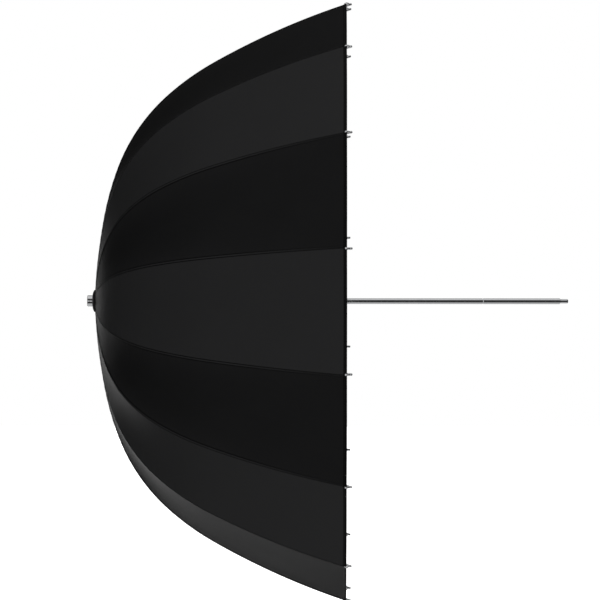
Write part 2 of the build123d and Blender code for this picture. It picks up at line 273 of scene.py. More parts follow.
catch_low, catch_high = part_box("catch_spring")
slot_half_width = 0.0012
slot_lead = 0.0014
slot_stops_short = 0.0076
slot_starts = catch_low.x - slot_lead + slot_half_width
slot_stops = catch_high.x - slot_stops_short - slot_half_width
slot_outline = []
for middle, first_turn in ((slot_stops, -pi / 2), (slot_starts, pi / 2)):
    for step in range(13):
        turn = first_turn + pi * step / 12
        slot_outline.append((middle + slot_half_width * cos(turn), slot_half_width * sin(turn)))
slot_points = [(x, y, z) for z in (0.0, 2 * shaft_radius) for x, y in slot_outline]
slot_faces = ring_faces(2, len(slot_outline))
cut_away(shaft_tube, [mesh_object("slot_cutter", slot_points, slot_faces, [])])
finish_piece(shaft_tube, "frame", "chrome", "shaft_tube")


# ---- The shaft's end plug -------------------------------------------------------------------
# A chromed steel slug, a little thinner than the tube, pressed into its free end. Its nose is
# turned round so that it finds the hole of a lamp's clamp.

def weld(piece):
    """Merge the points that lie on each other, and drop the faces that this leaves without area."""
    nearest = 1e-7
    built = bmesh.new()
    built.from_mesh(piece.data)
    bmesh.ops.remove_doubles(built, verts=built.verts, dist=nearest)
    bmesh.ops.dissolve_degenerate(built, edges=built.edges, dist=nearest)
    bmesh.ops.recalc_face_normals(built, faces=built.faces)
    built.to_mesh(piece.data)
    built.free()
    piece.data.set_sharp_from_angle(angle=hard_edge)


plug_low, plug_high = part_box("shaft_end_plug")
plug_radius = plug_high.y
plug_ease = 0.0005
plug_nose = 0.0022
press_line_at = tube_high.x + 0.0006
press_line_width = 0.0006
press_line_depth = 0.0002
plug_outline = [
    (plug_low.x, 0.0),
    (plug_low.x, plug_radius - plug_ease),
    (plug_low.x + plug_ease, plug_radius),
    (press_line_at, plug_radius),
    (press_line_at + press_line_width / 2, plug_radius - press_line_depth),
    (press_line_at + press_line_width, plug_radius),
]
for step in range(9):
    turn = pi / 2 * step / 8
    nose_along = plug_high.x - plug_nose + plug_nose * sin(turn)
    plug_outline.append((nose_along, plug_radius - plug_nose + plug_nose * cos(turn)))
plug_outline.append((plug_high.x, 0.0))
shaft_end_plug = turned("shaft_end_plug_turned", plug_outline, chrome, sides=48)
weld(shaft_end_plug)
finish_piece(shaft_end_plug, "frame", "chrome", "shaft_end_plug")


# ---- The ferrule nut ------------------------------------------------------------------------
# A chromed brass cap nut screwed on the shaft's top. It draws the rosette and the cloth down on
# the notch hub. Its rims are eased and its end wall is closed.

def eased(corners, radius):
    """An outline with each corner rounded to a radius, or to less where its sides are short."""
    outline = []
    for index, corner in enumerate(corners):
        here = Vector(corner)
        before = Vector(corners[index - 1]) - here
        after = Vector(corners[(index + 1) % len(corners)]) - here
        reach = min(radius, before.length * 0.45, after.length * 0.45)
        start = here + before.normalized() * reach
        end = here + after.normalized() * reach
        for share in (0.0, 0.25, 0.5, 0.75, 1.0):
            outline.append(start.lerp(here, share).lerp(here.lerp(end, share), share))
    return outline


ferrule_low, ferrule_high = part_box("ferrule_nut")
ferrule_radius = ferrule_high.y - 0.0003
ferrule_foot = ferrule_high.x + 0.0004
ferrule_chamfer = (0.0005, 0.0006)
ferrule_ease = 0.0002
ferrule_outline = eased(
    [
        (ferrule_low.x, 0.0),
        (ferrule_low.x, ferrule_radius - ferrule_chamfer[1]),
        (ferrule_low.x + ferrule_chamfer[0], ferrule_radius),
        (ferrule_foot, ferrule_radius),
        (ferrule_foot, shaft_radius),
        (tube_low.x, shaft_radius),
        (tube_low.x, 0.0),
    ],
    ferrule_ease,
)
ferrule_outline = [(along, out) for along, out in ferrule_outline if out > -1e-9]
ferrule_nut = turned("ferrule_nut_chromed", ferrule_outline, chrome, sides=72)
weld(ferrule_nut)
finish_piece(ferrule_nut, "frame", "chrome", "ferrule_nut")


# ---- The rosette ----------------------------------------------------------------------------
# A moulded black plastic dome with a dished back and a moulded bead round its skirt. It spreads
# the nut's pull over the cloth.

def make_moulded_black():
    """Satin black plastic with a fine spark-eroded grain and slightly rubbed high spots."""
    finish = Finish("black_moulded_plastic", Specular_IOR_Level=0.15)
    grain = finish.stretched_noise((2200.0, 2200.0, 2200.0), detail=3.0)
    cloud = finish.stretched_noise((90.0, 90.0, 90.0), detail=3.0)
    finish.feed(
        Base_Color=finish.tint(cloud, (0.006, 0.006, 0.0063, 1), (0.0114, 0.0114, 0.012, 1)),
        Roughness=0.34 + cloud * 0.16,
        Normal=finish.bump(grain, 0.00003),
    )
    return finish.material


rosette_low, rosette_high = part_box("rosette_cap")
rosette_radius = rosette_high.y
black_plastic = make_moulded_black()
rosette_lip = rosette_high.x + 0.0008
rosette_ease = 0.0003
bead_top = rosette_high.x - 0.0011
dome_foot = (rosette_high.x - 0.0013, rosette_radius - 0.0008)
dome_face = (rosette_low.x + 0.0003, 0.0078)
dome_fullness = 0.7
dome_steps = 12
rosette_outline = [
    (rosette_high.x, shaft_radius),
    (rosette_lip, rosette_radius - rosette_ease),
    (rosette_lip - rosette_ease, rosette_radius),
    (bead_top, rosette_radius),
    (dome_foot[0], rosette_radius - 2 * rosette_ease),
]
for step in range(dome_steps + 1):
    share = step / dome_steps
    rise = sin(pi / 2 * share) ** dome_fullness
    dome_along = dome_foot[0] + (dome_face[0] - dome_foot[0]) * rise
    rosette_outline.append((dome_along, dome_foot[1] + (dome_face[1] - dome_foot[1]) * share))
rosette_outline.append((dome_face[0], shaft_radius))
rosette = turned("rosette_moulded", rosette_outline, black_plastic, sides=96)
finish_piece(rosette, "frame", "black_plastic", "rosette_cap")


# ---- The notch hub, its wire and its pin ----------------------------------------------------
# A turned aluminium hub, slotted for the rib roots and pinned through the shaft. The rib roots
# are strung on a ring of spring steel wire that lies in the hub's groove.

def make_turned_metal(name, low, high, roughness):
    """Bare metal with the rings that the lathe leaves round the shaft's axis."""
    finish = Finish(name, Metallic=1.0)
    place = finish.node("ShaderNodeTexCoord", output="Object")
    rings = finish.node(
        "ShaderNodeTexWave",
        {"wave_type": "BANDS", "bands_direction": "X"},
        {"Vector": place, "Scale": 1400.0, "Distortion": 1.5, "Detail": 2.0},
    )
    cloud = finish.stretched_noise((400.0, 400.0, 400.0), detail=4.0)
    finish.feed(
        Base_Color=finish.tint(cloud, (*low, 1), (*high, 1)),
        Roughness=roughness + rings * 0.08 + cloud * 0.1,
        Normal=finish.bump(rings, 0.000008),
    )
    return finish.material


def carry_over(node, material):
    """Keep a CAD node and give it its real finish."""
    shown = frame["nodes"][node]
    shown.data.materials.clear()
    shown.data.materials.append(material)


bright_metal = make_turned_metal("turned_aluminium", (0.50, 0.51, 0.53), (0.66, 0.67, 0.69), 0.22)
spring_steel = make_turned_metal("spring_steel", (0.30, 0.30, 0.31), (0.46, 0.46, 0.47), 0.26)
carry_over("notch_hub", bright_metal)
for steel_node in ("notch_wire", "notch_pin", "catch_pin", "runner_wire", "catch_spring"):
    carry_over(steel_node, spring_steel)


# ---- The runner and its wire ----------------------------------------------------------------
# A moulded black plastic sleeve that slides on the shaft. Its crown is slotted for the arms'
# feet, which are strung on a second ring of spring steel wire.

carry_over("runner", black_plastic)


# ---- The ribs -------------------------------------------------------------------------------
# Sixteen springy rods of drawn black fibreglass, each one length from root to rim, with a pressed
# steel root blade strung on the hub's wire, a steel clip crimped on at the knee, and a drawn and
# chromed tip pushed on the rim end.

rib_count = 16
rib_turns = [pi * (2 * number + 1) / rib_count for number in range(rib_count)]
start_lean = radians(87.3)
rib_bends = ((0.120, 8.0), (0.075, 9.7), (0.129, 28.0), (0.078, 11.9), (0.204, 11.3))
rim_at = sum(length for length, turn in rib_bends)
rod_radius = 0.0015
rod_depth = 0.0026
blade_half = 0.00075
tip_radius = 0.0017
tip_sleeve = 0.008
tip_shows = 0.0068
rod_start = 0.014
rod_end = rim_at - 0.004
knee_at = 0.265
unbend_from = 0.100
unbend_to = 0.430


def rib_at(along, depth=0.0):
    """Where a rib's line is, as (x, out from the shaft), at a length from the canopy's top."""
    lean = start_lean
    x, out = canopy_top, 0.0
    for length, turn in rib_bends:
        radius = length / radians(turn)
        step = min(along, length) / radius
        x += radius * (sin(lean) - sin(lean - step))
        out += radius * (cos(lean - step) - cos(lean))
        lean -= step
        along -= length
        if along <= 0:
            break
    beyond = max(along, 0.0)
    return (
        x + depth * sin(lean) + beyond * cos(lean),
        out - depth * cos(lean) + beyond * sin(lean),
    )


def in_rib_plane(number, points):
    """Turn points of (x, out, side) from the first rib's flat plane into a rib's own plane."""
    across, up = cos(rib_turns[number]), sin(rib_turns[number])
    return [(x, out * across - side * up, out * up + side * across) for x, out, side in points]


def lofted(path, halves, sides=12, squareness=2.0):
    """Points and faces of a closed bar along a path of (x, out), with (flat, side) half sizes."""
    points = []
    for index, (x, out) in enumerate(path):
        before = path[max(index - 1, 0)]
        after = path[min(index + 1, len(path) - 1)]
        run = hypot(after[0] - before[0], after[1] - before[1])
        normal = (-(after[1] - before[1]) / run, (after[0] - before[0]) / run)
        flat, wide = halves[index]
        for side in range(sides):
            turn = 2 * pi * side / sides
            up = flat * abs(cos(turn)) ** (2 / squareness) * (1 if cos(turn) > 0 else -1)
            over = wide * abs(sin(turn)) ** (2 / squareness) * (1 if sin(turn) > 0 else -1)
            points.append((x + normal[0] * up, out + normal[1] * up, over))
    return points, ring_faces(len(path), sides)


def spun(centre, profile, sides=16):
    """Points and faces of a solid turned on an axis that crosses the rib's plane at a centre."""
    points = []
    for side_at, radius in profile:
        for side in range(sides):
            turn = 2 * pi * side / sides
            points.append((centre[0] + radius * cos(turn), centre[1] + radius * sin(turn), side_at))
    return points, ring_faces(len(profile), sides)


def eye(centre, ring_radius, half_wall, half_width, steps=20, sides=8):
    """Points and faces of the ring at a blade's end, which a wire goes through."""
    points = []
    for step in range(steps):
        turn = 2 * pi * step / steps
        for side in range(sides):
            around = 2 * pi * side / sides
            reach = ring_radius + half_wall * cos(around)
            over = half_width * sin(around)
            points.append((centre[0] + reach * cos(turn), centre[1] + reach * sin(turn), over))
    return points, ring_faces(steps, sides, closed=True)


def joined(*shapes):
    """One set of points and faces from several."""
    points, faces = [], []
    for shape_points, shape_faces in shapes:
        start = len(points)
        points += shape_points
        faces += [tuple(start + corner for corner in face) for face in shape_faces]
    return points, faces


def pivot(joint_name):
    """A joint's place as (x, out from the shaft)."""
    x, y, z = next(joint for joint in frame["joints"] if joint["name"] == joint_name)["pos_m"]
    return x, hypot(y, z)


def make_fibreglass():
    """Black drawn fibreglass: long faint strands under a resin skin."""
    finish = Finish("black_fibreglass", Specular_IOR_Level=0.5)
    cloud = finish.stretched_noise((60.0, 60.0, 60.0), detail=3.0)
    strands = finish.stretched_noise((900.0, 900.0, 900.0), detail=4.0)
    finish.feed(
        Base_Color=finish.tint(strands, (0.012, 0.012, 0.013, 1), (0.034, 0.033, 0.032, 1)),
        Roughness=0.28 + cloud * 0.18,
        Normal=finish.bump(strands, 0.00002),
    )
    return finish.material


def make_pressed_steel():
    """Zinc-plated pressed steel with soft cloudy spangle."""
    finish = Finish("zinc_plated_steel", Metallic=1.0)
    cloud = finish.stretched_noise((700.0, 700.0, 700.0), detail=4.0)
    finish.feed(
        Base_Color=finish.tint(cloud, (0.40, 0.41, 0.42, 1), (0.62, 0.62, 0.63, 1)),
        Roughness=0.24 + cloud * 0.14,
        Normal=finish.bump(cloud, 0.00002),
    )
    return finish.material


fibreglass = make_fibreglass()
pressed_steel = make_pressed_steel()
hub_pivot = pivot("rib_root_01")
knee_pivot = pivot("rib_knee_01")

rod_steps = 150
rod_length = rod_end - rod_start
rod_path = [
    rib_at(rod_start + rod_length * step / rod_steps, rod_depth) for step in range(rod_steps + 1)
]
rod_shape = lofted(rod_path, [(rod_radius, rod_radius)] * len(rod_path))

blade_meets_rod = rib_at(rod_start, rod_depth)
socket_radius = rod_radius + 0.0003
blade_path, blade_halves = [], []
for share in (0.12, 0.3, 0.5):
    blade_path.append(Vector(hub_pivot).lerp(Vector(blade_meets_rod), share)[:])
    blade_halves.append((0.0014, blade_half))
for along, flat, wide in (
    (rod_start, rod_radius, 0.0009),
    (0.0155, socket_radius, socket_radius),
    (0.0170, socket_radius, socket_radius),
    (0.0300, socket_radius, socket_radius),
    (0.0305, socket_radius - 0.00015, socket_radius - 0.00015),
):
    blade_path.append(rib_at(along, rod_depth))
    blade_halves.append((flat, wide))
eye_radius = 0.00105
eye_half_wall = 0.00042
blade_shape = joined(
    lofted(blade_path, blade_halves, sides=16, squareness=2.6),
    eye(hub_pivot, eye_radius, eye_half_wall, blade_half),
)

clip_half = 0.0105
clip_wall = 0.00038
clip_clearance = 0.00002
clip_cheek = 0.0034
clip_edge = 0.0006
clip_rows = 13
clip_turns = 9
clip_points, clip_faces = [], []
for row in range(clip_rows):
    share = 2 * row / (clip_rows - 1) - 1
    cheek = clip_cheek * max(1 - share * share, 0.0) ** 0.5 + clip_edge
    for layer in (rod_radius + clip_clearance, rod_radius + clip_wall):
        edge = [(-layer, cheek)]
        for step in range(clip_turns):
            turn = pi * step / (clip_turns - 1)
            edge.append((-layer * cos(turn), -layer * sin(turn)))
        edge.append((layer, cheek))
        for side, deeper in edge:
            clip_points.append((*rib_at(knee_at + clip_half * share, rod_depth + deeper), side))
span = clip_turns + 2
for row in range(clip_rows - 1):
    here = row * 2 * span
    for step in range(span - 1):
        for layer in (0, span):
            corner = here + layer + step
            clip_faces.append((corner, corner + 1, corner + 1 + 2 * span, corner + 2 * span))
    for step in (0, span - 1):
        corner = here + step
        clip_faces.append((corner, corner + span, corner + 3 * span, corner + 2 * span))
for here in (0, (clip_rows - 1) * 2 * span):
    for step in range(span - 1):
        corner = here + step
        clip_faces.append((corner, corner + 1, corner + 1 + span, corner + span))
rivet_profile = (
    (-0.0026, 0.0006),
    (-0.0025, 0.0011),
    (-0.0021, 0.0013),
    (-0.0019, 0.0013),
    (-0.0019, 0.0008),
    (0.0040, 0.0008),
    (0.0040, 0.0014),
    (0.0043, 0.0014),
    (0.0047, 0.0011),
    (0.0049, 0.0006),
)
clip_shape = joined((clip_points, clip_faces), spun(knee_pivot, rivet_profile))

tip_groove = (-0.0052, -0.0049, -0.0046)
tip_rounding = 0.0013
tip_path, tip_halves = [], []
for along, radius in (
    (-tip_sleeve, rod_radius + 0.00005),
    (-tip_sleeve + 0.0002, tip_radius),
    (tip_groove[0], tip_radius),
    (tip_groove[1], tip_radius - 0.00015),
    (tip_groove[2], tip_radius),
    (0.0, tip_radius),
    (tip_shows - tip_rounding, tip_radius),
):
    tip_path.append(rib_at(rim_at + along, rod_depth))
    tip_halves.append((radius, radius))
for step in range(1, 7):
    turn = pi / 2 * step / 6
    radius = tip_radius - tip_rounding * (1 - cos(turn))
    tip_path.append(rib_at(rim_at + tip_shows - tip_rounding * (1 - sin(turn)), rod_depth))
    tip_halves.append((radius, radius))
tongue_path, tongue_halves = [], []
for along, depth, flat, wide in (
    (-0.0030, -0.0011, 0.0002, 0.0006),
    (-0.0026, -0.0012, 0.0004, 0.0010),
    (-0.0014, -0.0013, 0.0005, 0.0012),
    (0.0002, -0.0012, 0.0007, 0.0013),
    (0.0016, -0.0005, 0.0009, 0.0013),
    (0.0028, 0.0008, 0.0011, 0.0014),
    (0.0038, 0.0020, 0.0012, 0.0015),
    (0.0044, rod_depth, 0.0012, 0.0014),
):
    tongue_path.append(rib_at(rim_at + along, depth))
    tongue_halves.append((flat, wide))
tip_shape = joined(lofted(tip_path, tip_halves, sides=20), lofted(tongue_path, tongue_halves, sides=16))


def rib_piece(kind, number, shape, material):
    """One of a rib's pieces, moved into the rib's plane."""
    points, faces = shape
    return mesh_object(f"{kind}_{number + 1:02d}", in_rib_plane(number, points), faces, [material])


for number in range(rib_count):
    inner, outer = f"rib_inner_{number + 1:02d}", f"rib_outer_{number + 1:02d}"
    unbend_ends = [(*rib_at(along, rod_depth), 0) for along in (unbend_from, unbend_to)]
    unbend = in_rib_plane(number, unbend_ends)
    rod = rib_piece("rib_rod", number, rod_shape, fibreglass)
    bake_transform(rod)
    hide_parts(inner, outer)
    blade = rib_piece("rib_root_blade", number, blade_shape, pressed_steel)
    finish_piece(blade, inner, "spring_steel")
    clip = rib_piece("knee_clip", number, clip_shape, pressed_steel)
    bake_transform(clip)
    tip = rib_piece("rib_tip", number, tip_shape, chrome)
    finish_piece(tip, outer, "chrome")


# ---- The arms -------------------------------------------------------------------------------
# Sixteen arms of round steel wire with flattened ends, stove-enamelled black. Each hinges on
# the runner's wire and is riveted beside its rib's knee clip.

def make_enamel():
    """Black stove enamel: slight orange peel, and a brown-grey bloom."""
    finish = Finish("black_enamel", Specular_IOR_Level=0.5)
    peel = finish.stretched_noise((1300.0, 1300.0, 1300.0), detail=2.0)
    cloud = finish.stretched_noise((120.0, 120.0, 120.0), detail=4.0)
    finish.feed(
        Base_Color=finish.tint(cloud, (0.010, 0.010, 0.010, 1), (0.028, 0.027, 0.026, 1)),
        Roughness=0.24 + cloud * 0.2,
        Normal=finish.bump(peel, 0.000025),
    )
    return finish.material


enamel = make_enamel()
for number in range(rib_count):
    carry_over(f"stretcher_{number + 1:02d}", enamel)


# ---- The canopy cloth -----------------------------------------------------------------------
# Sixteen panels of black woven nylon, lined with white, joined by felled seams that lie on the
# ribs and hemmed round the mouth. Here it is one strip for each rib, from mid-panel to mid-panel,
# and each strip has a crown, a shoulder and a skirt.

cloth_thickness = 0.0006
seam_rise = 0.00035
seam_profile = (
    (0.0008, -0.2),
    (0.0012, 0.9),
    (0.0022, 1.0),
    (0.0031, 0.9),
    (0.0036, -0.2),
    (0.0046, 0.0),
)
# Painted shade: the columns of the seam's sunk grooves, on each side of its raised band, are painted
# darker.
shaded_groove_columns = (0, 1, 4, 5)
# Painted highlight: how far from the seam the painted sheen on the dark panels reaches.
seam_glow = 0.016
# Painted sheen: the tone of the darker alternate panels. The lighter panels take 1.0.
painted_dark_sheen = 0.32
cloth_edge = radians(8.0)
hem_width = 0.0045
hem_rise = 0.00040
hem_step = 0.0006
seam_share = 0.42
pitch_turn = 2 * pi / rib_count
cloth_bands = (
    ("crown", 0.005, 0.150, 0.50, "rib_inner"),
    ("shoulder", 0.150, 0.265, 0.28, "rib_inner"),
    ("skirt", 0.265, rim_at, 0.15, "rib_outer"),
)


def panel_sag(along):
    """How far a panel's middle line is pulled in, which is most where the ribs bend hardest."""
    least, most = 0.0006, 0.0030
    hardest_bend, spread = 0.262, 0.085
    return least + most * exp(-(((along - hardest_bend) / spread) ** 2))


def cloth_point(along, share, depth):
    """A point of a rib's strip as (x, out, side): share runs from -1 to 1, mid-panel to mid-panel."""
    middle = abs(share)
    pucker_height, pucker_rate, pucker_drift = 0.00022, 470, 61
    beside_seam = exp(-middle * 7) * min(middle * 18, 1.0)
    pucker = pucker_height * sin(along * pucker_rate + 2.0 * sin(along * pucker_drift)) * beside_seam
    x, out = rib_at(along, depth + panel_sag(along) * middle * (2 - middle) + pucker)
    return x, out * (1 - middle / 2 * (1 - cos(pitch_turn))), out * share / 2 * sin(pitch_turn)


def strip_rows(low, high):
    """The rows of a strip, close together at its ends so that the strips shade as one surface."""
    pitch, end_row = 0.0032, 0.0003
    count = round((high - low) / pitch)
    inside = [low + (high - low) * step / count for step in range(1, count)]
    if high < rim_at:
        return [low, low + end_row, *inside, high - end_row, high]
    fold = rim_at - hem_width
    inside = [row for row in inside if not fold - 0.002 < row < fold - 0.0002]
    return sorted([low, low + end_row, *inside, fold - 0.0001, fold + hem_step, high - end_row, high])


def seam_shrink(along):
    """What turns a distance from the rib into a strip's share. Near the crown the seam narrows."""
    half = rib_at(along)[1] * sin(pitch_turn) / 2
    return min(seam_share * half / seam_profile[-1][0], 1.0) / half


def strip_columns(along, seam_side):
    """(share, rise) across a strip at one length: the felled seam stands up beside the rib."""
    shrink = seam_shrink(along)
    edge = seam_profile[-1][0] * shrink
    open_cloth = [(edge + (1 - edge) * (step / 9) ** 1.25, 0.0) for step in range(1, 10)]
    felled = [(distance * shrink, rise) for distance, rise in seam_profile] + open_cloth
    plain = [(distance * shrink, 0.0) for distance, rise in seam_profile] + open_cloth
    risen, flat = (felled, plain) if seam_side > 0 else (plain, felled)
    return [(-share, rise) for share, rise in reversed(flat)] + [(0.0, 0.0)] + risen


def hem_lift(along):
    """The hem's share of its rise at a length along the rib."""
    return min(max((hem_width - (rim_at - along)) / hem_step, 0.0), 1.0)


def painted_light_tones(along, asides, sheen_lit_panel, groove_shade, seam_band):
    """A face's corner tones, all painted light: painted sheen that makes alternate panels lighter or
    darker, painted shade in the seam's grooves, a painted highlight on the raised band between them, and
    on the dark panels a painted highlight beside the seam and painted shade towards the crown.
    """
    # How strongly the painted seam shade and highlight show. They fade out towards the rim.
    seam_strength = min(max((0.585 - along) / 0.15, 0.0), 1.0)
    # Painted shade in the seam's grooves.
    if groove_shade:
        return [painted_dark_sheen - 0.02 - 0.34 * seam_strength] * 4
    # Painted highlight: the seam's raised band is painted lighter.
    if seam_band:
        return [painted_dark_sheen + 0.78 * seam_strength] * 4
    if sheen_lit_panel:
        return [1.0] * 4
    # Painted shade: the dark panels are painted darker towards the crown.
    crown_shade = 0.4 * exp(-along / 0.09)
    # Painted highlight: the dark panels are painted lighter beside the seam, less so towards the rim.
    glow = 0.5 * (1 - along / rim_at)
    return [painted_dark_sheen + glow * exp(-abs(aside) / seam_glow) - crown_shade for aside in asides]


def make_strip(band, low, high, number, materials):
    """One closed strip, with its outer and lining faces, its UV in metres, and its panels' painted
    sheen, highlights and shade as a corner attribute.
    """
    seam_side = 1 if number % 2 == 0 else -1
    at_rim = high == rim_at
    rows = strip_rows(low, high)
    outer_points, inner_points, places = [], [], []
    for along in rows:
        columns = strip_columns(along, seam_side)
        for share, rise in columns:
            lift = rise * seam_rise + hem_lift(along) * hem_rise
            outer_points.append(cloth_point(along, share, -lift))
            inner_points.append(cloth_point(along, share, cloth_thickness + hem_lift(along) * hem_rise))
            places.append((outer_points[-1][2], along))
    width = len(columns)
    count = len(outer_points)
    faces, tones, finishes = [], [], []
    for row in range(len(rows) - 1):
        for column in range(width - 1):
            corner = row * width + column
            positive = column >= width // 2
            # Painted sheen: alternate panels are painted lighter and darker, as the satin shines along
            # its alternating grain.
            sheen_lit_panel = (number + positive) % 2 == 0
            beside = column - width // 2 if positive else width // 2 - 1 - column
            on_seam_side = positive == (seam_side > 0)
            quad = (corner, corner + 1, corner + width + 1, corner + width)
            shades = painted_light_tones(
                rows[row],
                [outer_points[point][2] for point in quad],
                sheen_lit_panel,
                on_seam_side and beside in shaded_groove_columns,
                on_seam_side and beside < len(seam_profile),
            )
            hemmed = hem_lift(rows[row + 1]) > 0
            faces.append(quad)
            tones += shades
            finishes.append(2 if hemmed else 0)
            faces.append(tuple(count + point for point in (quad[0], quad[3], quad[2], quad[1])))
            tones += [shades[0], shades[3], shades[2], shades[1]]
            finishes.append(2 if hemmed else 1)
    border = list(range(width))
    border += [row * width + width - 1 for row in range(1, len(rows))]
    border += [(len(rows) - 1) * width + column for column in range(width - 2, -1, -1)]
    border += [row * width for row in range(len(rows) - 2, 0, -1)]
    for index, corner in enumerate(border):
        following = border[(index + 1) % len(border)]
        faces.append((corner, count + corner, count + following, following))
        tones += [0.0] * 4
        finishes.append(2 if at_rim else 0)
    points = in_rib_plane(number, outer_points + inner_points)
    strip = mesh_object(f"canopy_{band}_{number + 1:02d}", points, faces, materials, cloth_edge)
    mesh = strip.data
    mesh.polygons.foreach_set("material_index", finishes)
    tone_layer = mesh.attributes.new("painted_light_and_shade", "FLOAT", "CORNER")
    corners = [(face, point) for face, quad in enumerate(faces) for point in quad]
    tone_by_corner = dict(zip(corners, tones))
    corner_tones = [
        tone_by_corner[polygon.index, mesh.loops[loop].vertex_index]
        for polygon in mesh.polygons
        for loop in polygon.loop_indices
    ]
    tone_layer.data.foreach_set("value", corner_tones)
    uv_layer = mesh.uv_layers.new(name="cloth")
    flat_places = places + places
    for loop in mesh.loops:
        uv_layer.data[loop.index].uv = flat_places[loop.vertex_index]
    return strip, rows


def make_cloth(name, dark, light, gloss=0.035, sheen=0.006):
    """Woven nylon: a plain weave in the cloth's own UV metres, soft sheen and a mottled satin."""
    finish = Finish(name, Specular_IOR_Level=gloss, Sheen_Weight=sheen, Sheen_Roughness=0.4)
    place = finish.node("ShaderNodeUVMap", {"uv_map": "cloth"})
    warp, weft = (
        finish.node(
            "ShaderNodeTexWave",
            {"wave_type": "BANDS", "bands_direction": direction},
            {"Vector": place, "Scale": 620.0},
            output=1,
        )
        for direction in ("X", "Y")
    )
    weave = warp * 0.5 + weft * 0.5
    # The corner attribute is painted light: painted sheen on alternate panels, painted highlights beside
    # the seams and on their raised bands, and painted shade in the seams' grooves and towards the crown.
    tone = finish.node("ShaderNodeAttribute", {"attribute_name": "painted_light_and_shade"}, output=2)
    slub = finish.stretched_noise((900.0, 60.0, 1.0), detail=3.0, place=place)
    cloud = finish.stretched_noise((14.0, 9.0, 1.0), detail=3.0, place=place)
    shade = tone * 0.9 + cloud * 0.14 + slub * 0.06 + weave * 0.04 - 0.06
    finish.feed(
        Base_Color=finish.tint(shade, (*dark, 1), (*light, 1)),
        Roughness=0.44 - tone * 0.04 + cloud * 0.06,
        Normal=finish.bump(weave * 0.6 + slub * 0.4, 0.00004),
    )
    return finish.material


canopy_nylon = make_cloth("black_nylon", (0.0025, 0.0025, 0.0026), (0.0170, 0.0170, 0.0175))
canopy_lining = make_cloth("white_lining", (0.80, 0.80, 0.79), (0.88, 0.88, 0.87), gloss=0.3, sheen=0.1)
hem_tape = make_cloth("black_hem_tape", (0.0020, 0.0020, 0.0021), (0.0034, 0.0034, 0.0036))


def fold_towards_rib(piece):
    """Give a piece of cloth its own copy of its mesh."""
    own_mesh(piece)


for number in range(rib_count):
    tag = f"{number + 1:02d}"
    for band, low, high, keep, half in cloth_bands:
        strip, rows = make_strip(band, low, high, number, [canopy_nylon, canopy_lining, hem_tape])
        finish_piece(strip, f"{half}_{tag}", "canopy_cloth")
        if band == "crown" and number == 0:
            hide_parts("canopy")
        fold_towards_rib(strip)
        widths = [rib_at(along)[1] * sin(pitch_turn) for along in rows]
        flat_area = sum(
            (rows[step + 1] - rows[step]) * (widths[step] + widths[step + 1]) / 2
            for step in range(len(rows) - 1)
        )
        high - low


# ---- The stitching --------------------------------------------------------------------------
# Bonded black nylon thread in lockstitch: one row down the middle of each felled seam, and one
# along the hem. Each stitch lies sunk a little in the cloth.

def make_stitch_tree():
    """A tree that lays stitches of one length at an even pitch along the lines of a mesh."""
    tree = bpy.data.node_groups.new("lockstitch", "GeometryNodeTree")
    tree.interface.new_socket("Geometry", in_out="INPUT", socket_type="NodeSocketGeometry")
    sockets = {}
    for label, kind in (
        ("Pitch", "NodeSocketFloat"),
        ("Length", "NodeSocketFloat"),
        ("Thread", "NodeSocketFloat"),
        ("Finish", "NodeSocketMaterial"),
    ):
        sockets[label] = tree.interface.new_socket(label, in_out="INPUT", socket_type=kind)
    tree.interface.new_socket("Geometry", in_out="OUTPUT", socket_type="NodeSocketGeometry")
    stitching = Nodes(tree)

    def step(kind, settings=None, inputs=None, output=0):
        return stitching.node(kind, settings, inputs, output)

    given = tree.nodes.new("NodeGroupInput")
    asked = {label: Signal(stitching, given.outputs[label]) for label in ("Geometry", *sockets)}
    line = step("GeometryNodeMeshToCurve", {}, {"Mesh": asked["Geometry"]})
    spacing = {"Curve": line, "Length": asked["Pitch"]}
    spaced = step("GeometryNodeResampleCurve", {"mode": "LENGTH"}, spacing)
    bead = step("GeometryNodeMeshUVSphere", {}, {"Segments": 6, "Rings": 4, "Radius": 0.5})
    size = step("ShaderNodeCombineXYZ", {}, {0: asked["Length"], 1: asked["Thread"], 2: asked["Thread"]})
    stitch = step("GeometryNodeTransform", {}, {"Geometry": bead, "Scale": size})
    along = step("GeometryNodeInputTangent")
    facing = step("FunctionNodeAlignRotationToVector", {"axis": "X"}, {"Vector": along})
    placing = {"Points": spaced, "Instance": stitch, "Rotation": facing}
    laid = step("GeometryNodeInstanceOnPoints", {}, placing)
    real = step("GeometryNodeRealizeInstances", {}, {"Geometry": laid})
    smooth = step("GeometryNodeSetShadeSmooth", {}, {0: real})
    finished = step("GeometryNodeSetMaterial", {}, {"Geometry": smooth, "Material": asked["Finish"]})
    result = tree.nodes.new("NodeGroupOutput")
    tree.links.new(finished.socket, result.inputs["Geometry"])
    return tree, {label: socket.identifier for label, socket in sockets.items()}


def make_thread():
    """Bonded thread: a fine twist, and slight shade changes along each run."""
    finish = Finish("black_thread", Specular_IOR_Level=0.2)
    twist = finish.stretched_noise((5000.0, 5000.0, 5000.0))
    cloud = finish.stretched_noise((150.0, 150.0, 150.0))
    finish.feed(
        Base_Color=finish.tint(cloud, (0.006, 0.006, 0.006, 1), (0.018, 0.018, 0.019, 1)),
        Roughness=0.42 + cloud * 0.12,
        Normal=finish.bump(twist, 0.00003),
    )
    return finish.material


stitch_tree, stitch_inputs = make_stitch_tree()
stitch_sizes = {"Pitch": 0.0034, "Length": 0.0026, "Thread": 0.00034, "Finish": make_thread()}
thread_proud = 0.00008
seam_end_gap = 0.0015
first_stitch = 0.022
hem_stitch_at = rim_at - 0.0030


